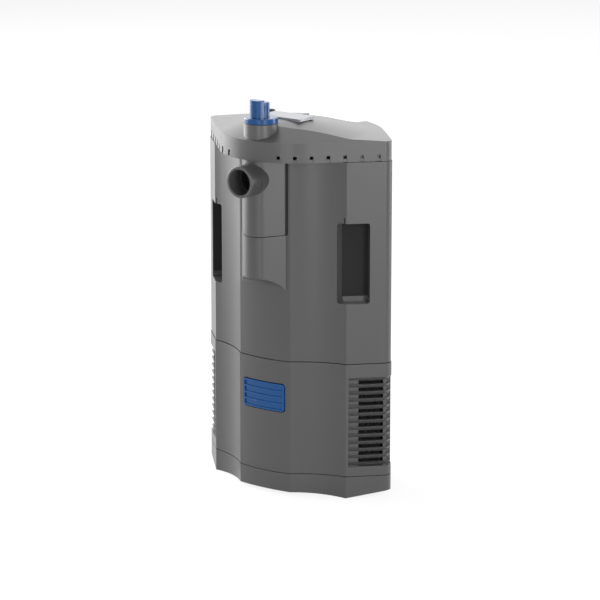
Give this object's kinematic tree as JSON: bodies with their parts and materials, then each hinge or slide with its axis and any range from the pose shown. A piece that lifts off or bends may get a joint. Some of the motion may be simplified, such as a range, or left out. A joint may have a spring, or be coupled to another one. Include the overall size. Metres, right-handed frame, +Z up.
{
  "type": "aquarium corner filter",
  "caption": "Tall internal corner filter with louvred inlets, grip pockets, a front spout under a domed lid, a flow knob and a release button.",
  "frame": {"origin": "on the floor, under the middle of the overall box", "axes": "+X to the filter's left as it faces the viewer's right hand side, -Y the front with the spout, +Z up"},
  "size_m": [0.1708, 0.1336, 0.3068],
  "materials": {
    "housing_grey": "satin",
    "inner_dark": "satin",
    "control_blue": "gloss",
    "seal_rubber": "matte",
    "cup_rubber": "satin",
    "foam_coarse": "matte",
    "foam_fine": "matte",
    "motor_resin": "satin",
    "steel": "brushed",
    "ceramic": "gloss",
    "ferrite": "matte"
  },
  "bodies": {
    "housing": {"foot_cover": "housing_grey", "lower_housing": "housing_grey", "housing_seal": "seal_rubber", "coarse_foam": "foam_coarse", "lower_suction_cups": "cup_rubber"},
    "release": {"release_button": "control_blue", "button_spring": "steel"},
    "upper": {"upper_housing": "housing_grey", "foam_grid": "inner_dark", "fine_foam": "foam_fine", "pump_deck": "inner_dark", "upper_suction_cups": "cup_rubber"},
    "pump_head": {"lid_cover": "housing_grey", "badge_plate": "housing_grey", "cable_gland": "seal_rubber", "outlet_plate": "housing_grey", "outlet_duct": "inner_dark", "outlet_seal": "seal_rubber", "motor_block": "motor_resin", "motor_screws": "steel", "pump_dampers": "seal_rubber", "volute": "inner_dark", "volute_seal": "seal_rubber", "suction_strainer": "inner_dark", "lower_bush": "seal_rubber", "upper_bush": "seal_rubber", "rotor_shaft": "ceramic", "spindle_seal": "seal_rubber"},
    "flow_regulator": {"flow_knob": "control_blue", "regulator_spindle": "inner_dark", "regulator_shutter": "inner_dark"},
    "impeller_rotor": {"impeller": "inner_dark", "rotor_magnet": "ferrite"}
  },
  "joints": [
    {"name": "release_press", "type": "slide", "parent": "housing", "child": "release", "axis": [0, 1, 0], "range_m": [0, 0.003], "stiffness_N_per_m": 400, "deforming": ["button_spring"]},
    {"name": "upper_lift", "type": "slide", "parent": "housing", "child": "upper", "axis": [0, 0, 1], "range_m": [0, 0.06]},
    {"name": "pump_lift", "type": "slide", "parent": "upper", "child": "pump_head", "axis": [0, 0, 1], "range_m": [0, 0.06]},
    {"name": "flow_turn", "type": "hinge", "parent": "pump_head", "child": "flow_regulator", "pos_m": [0, -0.04009, 0.29], "axis": [0, 0, 1], "range_deg": [0, 90]},
    {"name": "impeller_spin", "type": "hinge", "parent": "pump_head", "child": "impeller_rotor", "pos_m": [0, 0.00595, 0.19], "axis": [0, 0, 1], "continuous": true}
  ]
}
